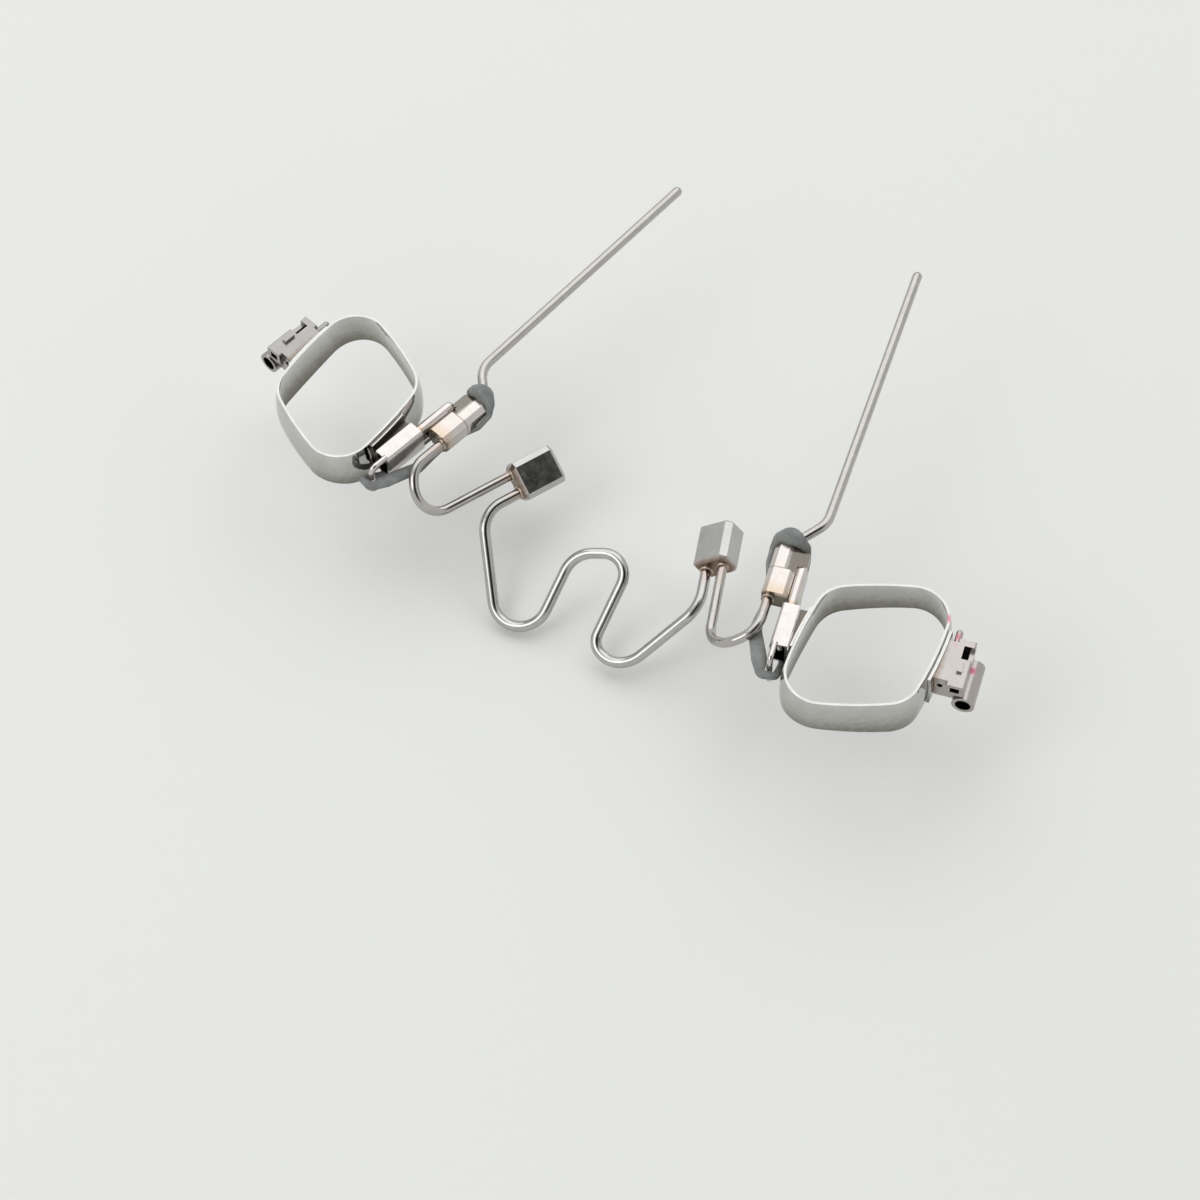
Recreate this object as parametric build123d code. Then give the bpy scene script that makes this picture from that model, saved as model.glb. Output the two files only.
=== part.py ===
from build123d import *
import os
from dataclasses import dataclass
from math import radians, tan

# Palatal expander: a heat-set W spring pushes two halves apart, and each half plugs
# into a sheath on a molar band. Millimetres, +X across, +Y to the front teeth, +Z to
# the biting side. The origin is midway between the bands, on the plane of their rims.
# Every piece is drawn for the right side, where +X points to the cheek. The left side
# is its mirror image, with that side's own bends.

# Molar bands
BAND_SPAN = 48.2
BAND_ACROSS = 11.0
BAND_ALONG = 12.4
BAND_SKEW = 20.0
BAND_TOE_IN = 7.0
BAND_BULGE = 0.5
BAND_CORNER_RADIUS = 3.1
BAND_HEIGHT = 4.0
BAND_WALL = 0.2
BAND_BELLY_DROP = 1.7
BAND_RIM_DRAW = 0.25
BAND_NECK_DRAW = 0.12
BAND_FESTOON_RADIUS = 30.0

# Gaps between pieces
WELD_FILM = 0.02
BRAZE_FILM = 0.02
SLIDING_FIT = 0.05

# Casting with two tubes on the cheek side of each band
PAD_LENGTH = 4.8
PAD_HEIGHT = 3.2
PAD_THICKNESS = 0.25
TUBE_FORWARD = 1.4
TUBE_STAND_OFF = 1.65
TUBE_DROP = 1.1
TUBE_TOE_IN = 6.0
TUBE_LENGTH = 4.3
TUBE_WALL = 0.36
SLOT_WIDTH = 0.71
SLOT_HEIGHT = 0.56
STEM_LENGTH = 3.6
STEM_HEIGHT = 2.3
HEADGEAR_BORE_RADIUS = 0.6
HEADGEAR_WALL = 0.3
HEADGEAR_LENGTH = 3.7
HEADGEAR_BACK = 0.4
HEADGEAR_OUT = 0.8
HEADGEAR_DROP = 1.6
CASTING_EDGE_RADIUS = 0.15
NOTCH_LENGTH = 1.2
NOTCH_DEPTH = 0.5
NOTCH_FORWARD = 1.0
NOTCH_IN = 0.15
RIB_WIDTH = 0.4
RIB_LENGTH = 1.0
RIB_HEIGHT = 0.25
RIB_BACK = 0.4
PILOT_RADIUS = 0.22
PILOT_DEPTH = 1.2
PILOT_IN = 1.2
PILOT_DROP = 0.3
HOOK_WIRE = 0.55
HOOK_REACH = 1.2

# Sheath on the palate side of each band
SHEATH_STAND_OFF = 1.0
SHEATH_FORWARD = -1.3
SHEATH_HEADING = 14.0
SHEATH_LENGTH = 3.9
SHEATH_DROP = 1.75
SHEATH_WALL = 0.2
SHEATH_CORNER_RADIUS = 0.35
FLANGE_OVERHANG = 0.25
FLANGE_THICKNESS = 0.15
GROOVE_DEPTH = 0.5
CLEAT_WIRE = 0.5
CLEAT_IN = 0.3
CLEAT_BACK = 1.5
CLEAT_DOWN = 2.7

# Wire folded double that slides in the sheath
INSERT_WIRE = 0.9
INSERT_GAP = 0.08
INSERT_SETBACK = 0.3
INSERT_LAP = 3.2

# Block that joins the insert, the arm and the loop
BLOCK_LENGTH = 4.8
BLOCK_WIDTH = 2.1
BLOCK_HEIGHT = 1.9
BLOCK_DROP = 1.65
BLOCK_CLEAR = 0.75
BLOCK_CHAMFER = 0.4
SHOULDER_OUT = 0.7
BEVEL_LENGTH = 2.4
BEVEL_WIDTH = 0.9
BEVEL_DEPTH = 1.0
ARM_OUT = 0.3
LOOP_IN = 0.5
SOCKET_DEPTH = 2.0

# Stainless wire of the arm and the loop
WIRE = 0.81
ARM_LENGTH = 25.5
ARM_RISE = 3.2
ARM_LEAD = 0.8
ARM_BEND_RADIUS = 2.2
LOOP_LEAD = 3.2
LOOP_TAIL = 6.9
LOOP_BEND_RADIUS = 2.2
BEND_SHARE = 0.48  # most of a run that the bend at one of its ends may use

# Crimp blocks that hold the loop and the spring
CRIMP_SPAN = 16.6
CRIMP_DROP = 5.1
CRIMP_LENGTH = 3.8
CRIMP_WIDTH = 3.3
CRIMP_THICKNESS = 2.4
CRIMP_ROLL = 35.0
CRIMP_BEVEL = 0.45
CRIMP_REAR_BEVEL = 0.3
CRIMP_FRONT_RADIUS = 0.3
CRIMP_PITCH = 1.6
CRIMP_DEPTH = 2.9

# Heat-set centre spring: its bends lie on a plane that falls towards the throat
SPRING_WIRE = 0.91
SPRING_LEAD = 3.6
SPRING_LEAD_RADIUS = 2.6
SPRING_FALL = 34.0
SPRING_LEVEL = -5.53
SPRING_BENDS = [
    # across, forward, radius
    (-5.4, -7.3, 2.2),
    (-2.1, -6.1, 2.4),
    (-1.9, -0.6, 2.6),
    (2.9, 1.1, 1.7),
    (2.7, -5.6, 1.4),
    (4.6, -6.2, 2.2),
    (6.3, -5.5, 3.0),
]

# Elastic ring from the front of the block to the cleat behind the sheath
ELASTIC_THICKNESS = 0.6
ELASTIC_BUNCH = 1.3
ELASTIC_STRAP = 0.85
ELASTIC_BEND_RADIUS = 0.4
ELASTIC_CLEAR = 0.06


@dataclass
class Side:
    """What differs between the two hand-bent sides. Places are out, forward and up."""

    name: str
    band_forward: float
    crimp_forward: float
    crimp_heading: float
    loop_turn: tuple  # from the centre of the connector block
    arm_elbow: tuple  # from the centre of the connector block
    arm_toe_in: float
    arm_cut: float  # how much shorter than the full length


RIGHT = Side(
    name="right",
    band_forward=-0.1,
    crimp_forward=4.95,
    crimp_heading=20.0,
    loop_turn=(-1.0, -7.1, -1.25),
    arm_elbow=(0.9, 5.8, 0.25),
    arm_toe_in=11.1,
    arm_cut=0.0,
)
LEFT = Side(
    name="left",
    band_forward=1.1,
    crimp_forward=4.1,
    crimp_heading=27.0,
    loop_turn=(-0.5, -7.7, -1.35),
    arm_elbow=(1.2, 5.4, 0.25),
    arm_toe_in=12.4,
    arm_cut=1.2,
)


# Tools for wires and holes


def place(frame, x, y, z):
    """A place given in a local frame, as a point of the part."""
    return (frame * Pos(x, y, z)).position


def fitted_radius(before, corner, after, radius):
    """The bend radius at a corner, limited by the runs that it joins."""
    half_turn = radians((corner - before).get_angle(after - corner) / 2)
    shorter_run = min((corner - before).length, (after - corner).length)
    return min(radius, BEND_SHARE * shorter_run / tan(half_turn))


def wire_path(points, radii):
    """Straight runs joined by tangent arcs, one radius for each corner."""
    points = [Vector(*p) for p in points]
    corners = zip(points, points[1:], points[2:], radii)
    fitted = [fitted_radius(*corner) for corner in corners]
    return FilletPolyline(*points, radius=fitted)


def wire_solid(path, diameter):
    """Round wire along a path."""
    section = Plane(path @ 0, z_dir=path % 0) * Circle(diameter / 2)
    return sweep(section, path=path)


def ring_solid(front, rear, radius, diameter):
    """Round cord round a closed loop of corners, its halves joined in the middle of two strands."""
    front = [Vector(*p) for p in front]
    rear = [Vector(*p) for p in rear]
    outer_joint = (front[-1] + rear[0]) / 2
    inner_joint = (rear[-1] + front[0]) / 2
    front_half = wire_path([inner_joint, *front, outer_joint], [radius] * len(front))
    rear_half = wire_path([outer_joint, *rear, inner_joint], [radius] * len(rear))
    return wire_solid(front_half, diameter) + wire_solid(rear_half, diameter)


def socket(diameter, depth):
    """Round hole for a brazed wire, from the origin along +Y."""
    hole = Cylinder(diameter / 2 + BRAZE_FILM, depth, rotation=(90, 0, 0))
    return Pos(0, depth / 2, 0) * hole


# Local frames: X to the cheek, Y to the front, Z to the biting side


def band_frame(side):
    return Pos(BAND_SPAN / 2, side.band_forward, 0) * Rot(0, 0, BAND_TOE_IN)


def tube_frame(side):
    out = BAND_ACROSS / 2 + TUBE_STAND_OFF
    return band_frame(side) * Pos(out, TUBE_FORWARD, -TUBE_DROP) * Rot(0, 0, TUBE_TOE_IN)


def sheath_frame():
    out = BAND_SPAN / 2 - BAND_ACROSS / 2 - SHEATH_STAND_OFF
    return Pos(out, SHEATH_FORWARD, -SHEATH_DROP) * Rot(0, 0, SHEATH_HEADING)


def block_place():
    """Centre of the connector block in the sheath's frame."""
    inward = INSERT_WIRE / 2 + BRAZE_FILM + BLOCK_WIDTH / 2
    forward = SHEATH_LENGTH / 2 + BLOCK_CLEAR + BLOCK_LENGTH / 2
    return -inward, forward, SHEATH_DROP - BLOCK_DROP


def block_frame():
    return sheath_frame() * Pos(*block_place())


def crimp_frame(side):
    centre = Pos(CRIMP_SPAN / 2, side.crimp_forward, -CRIMP_DROP)
    return centre * Rot(0, 0, side.crimp_heading) * Rot(0, -CRIMP_ROLL, 0)


# Molar band, weld pad and tube casting


def band_section(grow, level):
    """Skewed four-sided outline with bowed walls and round corners."""
    half_x = BAND_ACROSS / 2 - BAND_BULGE
    half_y = BAND_ALONG / 2 - BAND_BULGE
    lean = half_x * tan(radians(BAND_SKEW))
    corners = [
        (-half_x, -half_y - lean),
        (half_x, lean - half_y),
        (half_x, half_y + lean),
        (-half_x, half_y - lean),
    ]
    walls = [SagittaArc(a, b, -BAND_BULGE) for a, b in zip(corners, corners[1:] + corners[:1])]
    outline = make_face(walls)
    outline = fillet(outline.vertices(), BAND_CORNER_RADIUS)
    return Pos(0, 0, level) * offset(outline, amount=grow)


def band_body(grow):
    """The band's barrel form as a full solid, grown by a wall or a film."""
    return loft(
        [
            band_section(grow - BAND_RIM_DRAW, 0),
            band_section(grow, -BAND_BELLY_DROP),
            band_section(grow - BAND_NECK_DRAW, -BAND_HEIGHT),
        ]
    )


def molar_band(side):
    """Thin ring whose lower edge rises towards its front and back."""
    festoon = Cylinder(BAND_FESTOON_RADIUS, 2 * BAND_ACROSS, rotation=(0, 90, 0))
    ring = band_body(0) - band_body(-BAND_WALL)
    ring = ring & Pos(0, 0, BAND_FESTOON_RADIUS - BAND_HEIGHT) * festoon
    return band_frame(side) * ring


def buccal_pad(side):
    """Curved weld pad on the band's cheek wall."""
    shell = band_body(WELD_FILM + PAD_THICKNESS) - band_body(WELD_FILM)
    window = Box(BAND_ACROSS / 2, PAD_LENGTH, PAD_HEIGHT)
    window = Pos(BAND_ACROSS / 2, TUBE_FORWARD, -BAND_HEIGHT / 2) * window
    return band_frame(side) * (shell & window)


def buccal_tube(side):
    """Archwire tube, round headgear tube, notch, rib and hook, cast in one with a stem."""
    width = SLOT_WIDTH + 2 * TUBE_WALL
    height = SLOT_HEIGHT + 2 * TUBE_WALL
    stem_reach = TUBE_STAND_OFF + BAND_BULGE
    stem = Box(stem_reach + width / 2, STEM_LENGTH, STEM_HEIGHT)
    stem = Pos(width / 4 - stem_reach / 2, 0, height / 2 - STEM_HEIGHT / 2) * stem
    casting = Box(width, TUBE_LENGTH, height) + stem
    casting = fillet(casting.edges().filter_by(Axis.Y), CASTING_EDGE_RADIUS)
    gear = Pos(HEADGEAR_OUT, -HEADGEAR_BACK, -HEADGEAR_DROP)
    gear_radius = HEADGEAR_BORE_RADIUS + HEADGEAR_WALL
    casting += gear * Cylinder(gear_radius, HEADGEAR_LENGTH, rotation=(90, 0, 0))
    notch = Box(width, NOTCH_LENGTH, 2 * NOTCH_DEPTH)
    casting -= Pos(width / 2 - NOTCH_IN, NOTCH_FORWARD, height / 2) * notch
    casting += Pos(0, -RIB_BACK, height / 2) * Box(RIB_WIDTH, RIB_LENGTH, 2 * RIB_HEIGHT)
    pilot = Cylinder(PILOT_RADIUS, 2 * PILOT_DEPTH, rotation=(90, 0, 0))
    casting -= Pos(-PILOT_IN, -STEM_LENGTH / 2, -PILOT_DROP) * pilot
    root = STEM_LENGTH / 2
    hook_x = -TUBE_STAND_OFF / 2
    hook = Cylinder(HOOK_WIRE / 2, 2 * HOOK_REACH, rotation=(90, 0, 0))
    casting += Pos(hook_x, root, 0) * hook
    casting += Pos(hook_x, root + HOOK_REACH, 0) * Sphere(HOOK_WIRE / 2)
    casting -= Box(SLOT_WIDTH, 2 * TUBE_LENGTH, SLOT_HEIGHT)
    casting -= gear * Cylinder(HEADGEAR_BORE_RADIUS, 2 * HEADGEAR_LENGTH, rotation=(90, 0, 0))
    pad_face = band_body(WELD_FILM + PAD_THICKNESS + BRAZE_FILM)
    return tube_frame(side) * casting - band_frame(side) * pad_face


# Sheath, with its weld flange and the cleat for the elastic


def lumen_size():
    """Width and height of the sheath's passage, a sliding fit on the folded wire."""
    width = INSERT_WIRE + 2 * SLIDING_FIT
    height = 2 * INSERT_WIRE + INSERT_GAP + 2 * SLIDING_FIT
    return width, height


def cleat_place():
    """Where the cleat's pin stands, in the sheath's frame: across and forward."""
    return -CLEAT_IN, -SHEATH_LENGTH / 2 - CLEAT_BACK


def lingual_sheath(side):
    """Box tube on a weld flange that follows the band, with a groove between them, and a cleat."""
    width, height = lumen_size()
    outer_x = width + 2 * SHEATH_WALL
    outer_z = height + 2 * SHEATH_WALL
    tube = Box(outer_x, SHEATH_LENGTH, outer_z)
    tube = fillet(tube.edges().filter_by(Axis.Y).group_by(Axis.X)[0], SHEATH_CORNER_RADIUS)
    web = Box(BAND_ACROSS / 2, SHEATH_LENGTH, outer_z - 2 * GROOVE_DEPTH)
    body = tube + Pos(BAND_ACROSS / 4, 0, 0) * web
    x, y = cleat_place()
    roof = (height + SHEATH_WALL) / 2
    route = [(x, y + CLEAT_BACK + SHEATH_WALL, roof), (x, y, roof), (x, y, roof - CLEAT_DOWN)]
    body += wire_solid(wire_path(route, [CLEAT_WIRE]), CLEAT_WIRE)
    body -= Box(width, SHEATH_LENGTH, height)
    window = Box(BAND_ACROSS / 2, SHEATH_LENGTH, outer_z + 2 * FLANGE_OVERHANG)
    flange = band_body(WELD_FILM + FLANGE_THICKNESS) - band_body(WELD_FILM)
    flange = band_frame(side) * flange & sheath_frame() * Pos(BAND_ACROSS / 4, 0, 0) * window
    return sheath_frame() * body - band_frame(side) * band_body(WELD_FILM) + flange


# The half that plugs in: insert, block, arm, loop and crimp block


def insert_front():
    """Front end of the folded wire, in the sheath's frame."""
    return SHEATH_LENGTH / 2 + BLOCK_CLEAR + INSERT_LAP


def sheath_insert():
    """Wire folded back on itself, its fold inside the sheath and its ends round."""
    level = (INSERT_WIRE + INSERT_GAP) / 2
    fold = -SHEATH_LENGTH / 2 + INSERT_SETBACK + INSERT_WIRE / 2 + level
    front = insert_front() - INSERT_WIRE / 2
    upper = Edge.make_line((0, front, level), (0, fold, level))
    turn = Edge.make_three_point_arc((0, fold, level), (0, fold - level, 0), (0, fold, -level))
    lower = Edge.make_line((0, fold, -level), (0, front, -level))
    body = wire_solid(Wire([upper, turn, lower]), INSERT_WIRE)
    for z in (level, -level):
        body += Pos(0, front, z) * Sphere(INSERT_WIRE / 2)
    return sheath_frame() * body


def connector_block():
    """Eight-sided bar with a shoulder ahead of the insert, a deep bevel and two sockets."""
    right, top, front = BLOCK_WIDTH / 2, BLOCK_HEIGHT / 2, BLOCK_LENGTH / 2
    wide = right + SHOULDER_OUT
    shoulder_length = BLOCK_LENGTH - INSERT_LAP - BRAZE_FILM
    shoulder = Box(right + wide, shoulder_length, BLOCK_HEIGHT)
    shoulder = Pos(SHOULDER_OUT / 2, front - shoulder_length / 2, 0) * shoulder
    body = Box(BLOCK_WIDTH, BLOCK_LENGTH, BLOCK_HEIGHT)
    body = chamfer(body.edges().filter_by(Axis.Y), BLOCK_CHAMFER)
    body += chamfer(shoulder.edges().filter_by(Axis.Y), BLOCK_CHAMFER)
    corner = Polyline((right - BEVEL_WIDTH, top), (wide, top), (wide, top - BEVEL_DEPTH), close=True)
    bevel = extrude(Plane.XZ * make_face(corner), -BEVEL_LENGTH)
    body -= Pos(0, front - BEVEL_LENGTH, 0) * bevel
    body -= Pos(ARM_OUT, front - SOCKET_DEPTH, 0) * socket(WIRE, SOCKET_DEPTH)
    body -= Pos(-LOOP_IN, -front, 0) * socket(WIRE, SOCKET_DEPTH)
    return block_frame() * body


def from_block(offset_from_centre):
    """A bend of a hand-bent wire, set off from the connector block's centre."""
    return block_frame().position + Vector(*offset_from_centre)


def arm(side):
    front = BLOCK_LENGTH / 2
    elbow = from_block(side.arm_elbow)
    run = Rot(0, 0, side.arm_toe_in) * Rot(ARM_RISE, 0, 0) * Pos(0, ARM_LENGTH - side.arm_cut, 0)
    route = [
        place(block_frame(), ARM_OUT, front - SOCKET_DEPTH, 0),
        place(block_frame(), ARM_OUT, front + ARM_LEAD, 0),
        elbow,
        elbow + run.position,
    ]
    return wire_solid(wire_path(route, [ARM_BEND_RADIUS] * 2), WIRE)


def loop_wire(side):
    block_rear = -BLOCK_LENGTH / 2
    crimp_rear = -CRIMP_LENGTH / 2
    route = [
        place(block_frame(), -LOOP_IN, block_rear + SOCKET_DEPTH, 0),
        place(block_frame(), -LOOP_IN, block_rear - LOOP_LEAD, 0),
        from_block(side.loop_turn),
        place(crimp_frame(side), CRIMP_PITCH / 2, crimp_rear - LOOP_TAIL, 0),
        place(crimp_frame(side), CRIMP_PITCH / 2, crimp_rear + CRIMP_DEPTH, 0),
    ]
    return wire_solid(wire_path(route, [LOOP_BEND_RADIUS] * 3), WIRE)


def crimp_block(side):
    """Bevelled block with two sockets side by side in its rear face."""
    body = Box(CRIMP_WIDTH, CRIMP_LENGTH, CRIMP_THICKNESS)
    body = chamfer(body.edges().filter_by(Axis.Y), CRIMP_BEVEL)
    body = chamfer(body.faces().sort_by(Axis.Y)[0].edges(), CRIMP_REAR_BEVEL)
    body = fillet(body.faces().sort_by(Axis.Y)[-1].edges(), CRIMP_FRONT_RADIUS)
    rear = -CRIMP_LENGTH / 2
    body -= Pos(CRIMP_PITCH / 2, rear, 0) * socket(WIRE, CRIMP_DEPTH)
    body -= Pos(-CRIMP_PITCH / 2, rear, 0) * socket(SPRING_WIRE, CRIMP_DEPTH)
    return crimp_frame(side) * body


# Centre spring and elastic rings


def spring_end(side):
    """The spring's end in its socket and its first bend behind the crimp block."""
    rear = -CRIMP_LENGTH / 2
    end = place(crimp_frame(side), -CRIMP_PITCH / 2, rear + CRIMP_DEPTH, 0)
    bend = place(crimp_frame(side), -CRIMP_PITCH / 2, rear - SPRING_LEAD, 0)
    return end, bend


def centre_spring():
    left = [Vector(-p.X, p.Y, p.Z) for p in spring_end(LEFT)]
    right = spring_end(RIGHT)
    fall = tan(radians(SPRING_FALL))
    middle = [(x, y, SPRING_LEVEL + fall * y) for x, y, radius in SPRING_BENDS]
    radii = [SPRING_LEAD_RADIUS, *(radius for x, y, radius in SPRING_BENDS), SPRING_LEAD_RADIUS]
    return wire_solid(wire_path([*left, *middle, *reversed(right)], radii), SPRING_WIRE)


def capsule(start, end, diameter):
    """A round-ended stretch where the ring is bunched thicker."""
    body = wire_solid(Wire(Edge.make_line(start, end)), diameter)
    for tip in (start, end):
        body += Pos(*tip) * Sphere(diameter / 2)
    return body


def elastic():
    """Stretched ring: over the arm's root, back beside and under the block, round the cleat."""
    stand = ELASTIC_THICKNESS / 2 + ELASTIC_CLEAR
    block_x, block_y, block_z = block_place()
    inner = block_x - BLOCK_WIDTH / 2 - stand
    outer = block_x + BLOCK_WIDTH / 2 + stand
    front = block_y + BLOCK_LENGTH / 2 + stand
    rear = block_y - BLOCK_LENGTH / 2
    over_arm = block_z + WIRE / 2 + stand
    under_block = block_z - BLOCK_HEIGHT / 2 - stand
    under_loop = block_z - WIRE / 2 - 2 * stand
    under_sheath = -lumen_size()[1] / 2 - 2 * SHEATH_WALL - stand
    cleat_x, cleat_y = cleat_place()
    wrap = CLEAT_WIRE / 2 + stand
    over_front = [
        (inner, front, over_arm),
        (outer, front, over_arm),
        (outer, front, under_block),
    ]
    round_cleat = [
        (cleat_x + wrap, -SHEATH_LENGTH / 2, under_sheath),
        (cleat_x + wrap, cleat_y - wrap, under_loop),
        (cleat_x - wrap, cleat_y - wrap, under_loop),
        (block_x - LOOP_IN, 0, under_loop),
        (block_x - LOOP_IN - stand, rear, under_block),
        (inner, block_y, under_loop),
    ]
    ring = ring_solid(over_front, round_cleat, ELASTIC_BEND_RADIUS, ELASTIC_THICKNESS)
    bunch = (ELASTIC_BUNCH - ELASTIC_THICKNESS) / 2
    ring += capsule(
        (block_x - BLOCK_WIDTH / 2, front + bunch, over_arm + bunch),
        (block_x + BLOCK_WIDTH / 2, front + bunch, over_arm + bunch),
        ELASTIC_BUNCH,
    )
    ring += capsule(
        (cleat_x - wrap - ELASTIC_STRAP / 2, cleat_y + wrap, under_loop),
        (block_x - LOOP_IN, 0, under_loop),
        ELASTIC_STRAP,
    )
    return sheath_frame() * ring


PIECES = {
    "molar_band": molar_band,
    "buccal_pad": buccal_pad,
    "buccal_tube": buccal_tube,
    "lingual_sheath": lingual_sheath,
    "arm": arm,
    "loop_wire": loop_wire,
    "crimp_block": crimp_block,
}
LIKE_PIECES = {
    "sheath_insert": sheath_insert,
    "connector_block": connector_block,
    "elastic": elastic,
}

os.makedirs("parts", exist_ok=True)
for side in (RIGHT, LEFT):
    solids = {piece: make(side) for piece, make in PIECES.items()}
    solids |= {piece: make() for piece, make in LIKE_PIECES.items()}
    for piece, solid in solids.items():
        if side is LEFT:
            solid = mirror(solid, about=Plane.YZ)
        export_step(solid, f"parts/{side.name}_{piece}.step")
export_step(centre_spring(), "parts/centre_spring.step")
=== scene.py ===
import math

import bpy
from mathutils import Matrix, Vector


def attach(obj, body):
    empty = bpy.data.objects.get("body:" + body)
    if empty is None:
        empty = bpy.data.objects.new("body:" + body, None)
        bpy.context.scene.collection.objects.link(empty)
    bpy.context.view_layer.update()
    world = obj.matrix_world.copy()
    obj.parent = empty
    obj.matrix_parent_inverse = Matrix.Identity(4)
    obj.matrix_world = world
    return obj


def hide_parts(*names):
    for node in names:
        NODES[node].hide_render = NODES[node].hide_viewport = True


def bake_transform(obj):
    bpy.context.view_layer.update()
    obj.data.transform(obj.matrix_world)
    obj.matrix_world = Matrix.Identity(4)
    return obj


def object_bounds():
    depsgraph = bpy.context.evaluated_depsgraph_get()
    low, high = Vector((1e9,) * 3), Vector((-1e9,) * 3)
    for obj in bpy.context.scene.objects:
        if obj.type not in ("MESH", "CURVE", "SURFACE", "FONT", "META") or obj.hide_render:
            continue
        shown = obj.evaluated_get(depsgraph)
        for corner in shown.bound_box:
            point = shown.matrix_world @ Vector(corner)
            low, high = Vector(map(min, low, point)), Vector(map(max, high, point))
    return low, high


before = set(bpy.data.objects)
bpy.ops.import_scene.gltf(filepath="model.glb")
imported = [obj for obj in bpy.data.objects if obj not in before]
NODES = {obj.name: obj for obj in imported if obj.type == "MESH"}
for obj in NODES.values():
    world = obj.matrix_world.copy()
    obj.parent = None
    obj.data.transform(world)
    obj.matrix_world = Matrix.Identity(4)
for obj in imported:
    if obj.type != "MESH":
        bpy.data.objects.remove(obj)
cad_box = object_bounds()
SCENE = bpy.context.scene
MM = 0.001

# Sizes shared with the solids, in millimetres and degrees

BAND_SPAN = 48.2
BAND_ACROSS = 11.0
BAND_TOE_IN = 7.0
BAND_HEIGHT = 4.0
TUBE_FORWARD = 1.4
TUBE_STAND_OFF = 1.65
TUBE_DROP = 1.1
TUBE_TOE_IN = 6.0
SLOT_WIDTH = 0.71
SLOT_HEIGHT = 0.56
HEADGEAR_BORE_RADIUS = 0.6
HEADGEAR_OUT = 0.8
HEADGEAR_DROP = 1.6
PILOT_RADIUS = 0.22
PILOT_IN = 1.2
PILOT_DROP = 0.3
SHEATH_STAND_OFF = 1.0
SHEATH_FORWARD = -1.3
SHEATH_HEADING = 14.0
SHEATH_LENGTH = 3.9
SHEATH_DROP = 1.75
SHEATH_WALL = 0.2
SLIDING_FIT = 0.05
INSERT_WIRE = 0.9
INSERT_GAP = 0.08
BRAZE_FILM = 0.02
BLOCK_LENGTH = 4.8
BLOCK_WIDTH = 2.1
BLOCK_HEIGHT = 1.9
BLOCK_DROP = 1.65
BLOCK_CLEAR = 0.75
ARM_OUT = 0.3
LOOP_IN = 0.5
SOCKET_DEPTH = 2.0
WIRE = 0.81
ARM_LENGTH = 25.5
ARM_RISE = 3.2
ARM_LEAD = 0.8
ARM_BEND_RADIUS = 2.2
LOOP_LEAD = 3.2
LOOP_TAIL = 6.9
LOOP_BEND_RADIUS = 2.2
CRIMP_SPAN = 16.6
CRIMP_DROP = 5.1
CRIMP_LENGTH = 3.8
CRIMP_ROLL = 35.0
CRIMP_PITCH = 1.6
CRIMP_DEPTH = 2.9
SPRING_WIRE = 0.91
SPRING_LEAD = 3.6
SPRING_LEAD_RADIUS = 2.6
SPRING_FALL = 34.0
SPRING_LEVEL = -5.53
# Across, forward, radius
SPRING_BENDS = [
    (-5.4, -7.3, 2.2),
    (-2.1, -6.1, 2.4),
    (-1.9, -0.6, 2.6),
    (2.9, 1.1, 1.7),
    (2.7, -5.6, 1.4),
    (4.6, -6.2, 2.2),
    (6.3, -5.5, 3.0),
]
CLEAT_WIRE = 0.5
CLEAT_IN = 0.3
CLEAT_BACK = 1.5
ELASTIC_THICKNESS = 0.6
ELASTIC_BUNCH = 1.3
ELASTIC_BEND_RADIUS = 0.4
ELASTIC_CLEAR = 0.06

# Turns and elbows are measured from the connector block's centre
SIDES = {
    "right": {
        "sign": 1,
        "band_forward": -0.1,
        "crimp_forward": 4.95,
        "crimp_heading": 20.0,
        "loop_turn": (-1.0, -7.1, -1.25),
        "arm_elbow": (0.9, 5.8, 0.25),
        "arm_toe_in": 11.1,
        "arm_cut": 0.0,
    },
    "left": {
        "sign": -1,
        "band_forward": 1.1,
        "crimp_forward": 4.1,
        "crimp_heading": 27.0,
        "loop_turn": (-0.5, -7.7, -1.35),
        "arm_elbow": (1.2, 5.4, 0.25),
        "arm_toe_in": 12.4,
        "arm_cut": 1.2,
    },
}


# Places on the right side; the left side is mirrored across the middle


def turn(degrees, axis):
    return Matrix.Rotation(math.radians(degrees), 4, axis)


def move(x, y, z):
    return Matrix.Translation((x, y, z))


def band_frame(side):
    return move(BAND_SPAN / 2, side["band_forward"], 0) @ turn(BAND_TOE_IN, "Z")


def tube_frame(side):
    out = BAND_ACROSS / 2 + TUBE_STAND_OFF
    return band_frame(side) @ move(out, TUBE_FORWARD, -TUBE_DROP) @ turn(TUBE_TOE_IN, "Z")


def sheath_frame(side):
    """The sheath's frame, which is alike on both sides."""
    out = BAND_SPAN / 2 - BAND_ACROSS / 2 - SHEATH_STAND_OFF
    return move(out, SHEATH_FORWARD, -SHEATH_DROP) @ turn(SHEATH_HEADING, "Z")


def block_place():
    """Centre of the connector block in the sheath's frame."""
    inward = INSERT_WIRE / 2 + BRAZE_FILM + BLOCK_WIDTH / 2
    forward = SHEATH_LENGTH / 2 + BLOCK_CLEAR + BLOCK_LENGTH / 2
    return Vector((-inward, forward, SHEATH_DROP - BLOCK_DROP))


def block_frame(side):
    return sheath_frame(side) @ Matrix.Translation(block_place())


def crimp_frame(side):
    centre = move(CRIMP_SPAN / 2, side["crimp_forward"], -CRIMP_DROP)
    return centre @ turn(side["crimp_heading"], "Z") @ turn(-CRIMP_ROLL, "Y")


def on_side(side, frame_of, points):
    """Points of a local frame, carried to the side that is being made."""
    placed = [frame_of(side) @ Vector(p) for p in points]
    return [Vector((side["sign"] * p.x, p.y, p.z)) for p in placed]


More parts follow.
